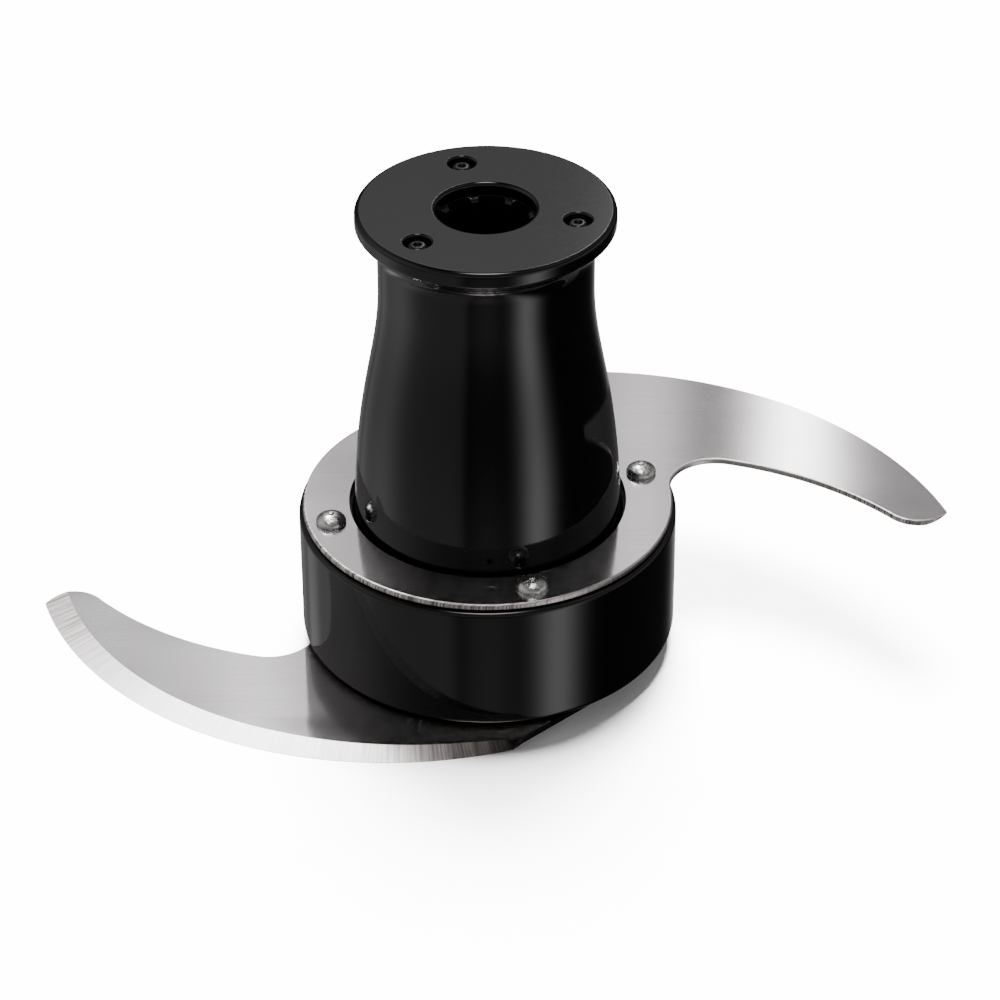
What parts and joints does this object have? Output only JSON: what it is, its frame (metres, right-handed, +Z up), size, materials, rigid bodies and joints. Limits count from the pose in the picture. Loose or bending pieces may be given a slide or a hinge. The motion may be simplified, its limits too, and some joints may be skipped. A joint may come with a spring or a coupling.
{
  "type": "food processor chopping blade",
  "caption": "S-shaped chopping blade of a food processor: curved steel blades on a black hub that drops over the drive shaft.",
  "frame": {"origin": "on the hub's axis, in the plane that the hub's lower rim stands on", "axes": "+Z up the hub's axis; the upper blade's arm points to +X and the lower blade's to -X; seen from above the knife turns anticlockwise"},
  "size_m": [0.179, 0.0924, 0.0974],
  "materials": {
    "black_plastic": "glossy near-black moulded plastic",
    "socket_plastic": "plain black moulded plastic inside the hub",
    "black_screw": "blackened screw head",
    "satin_steel": "satin stainless steel with fine straight brushing and a ground bevel",
    "polished_steel": "polished stainless steel",
    "black_rubber": "black sealing rubber"
  },
  "bodies": {
    "root": {"hub_cap": "black_plastic", "hub_sleeve": "black_plastic", "blade_collar": "black_plastic", "drive_socket": "socket_plastic", "cap_screw_1": "black_screw", "cap_screw_2": "black_screw", "cap_screw_3": "black_screw", "drive_bush": "polished_steel", "neck_seal": "black_rubber", "sleeve_seal": "black_rubber", "foot_seal": "black_rubber", "upper_blade": "satin_steel", "lower_blade": "satin_steel", "rivet_1": "polished_steel", "rivet_2": "polished_steel", "rivet_3": "polished_steel", "rivet_4": "polished_steel", "rivet_spacer_1": "polished_steel", "rivet_spacer_2": "polished_steel", "rivet_spacer_3": "polished_steel", "rivet_spacer_4": "polished_steel"}
  },
  "joints": []
}
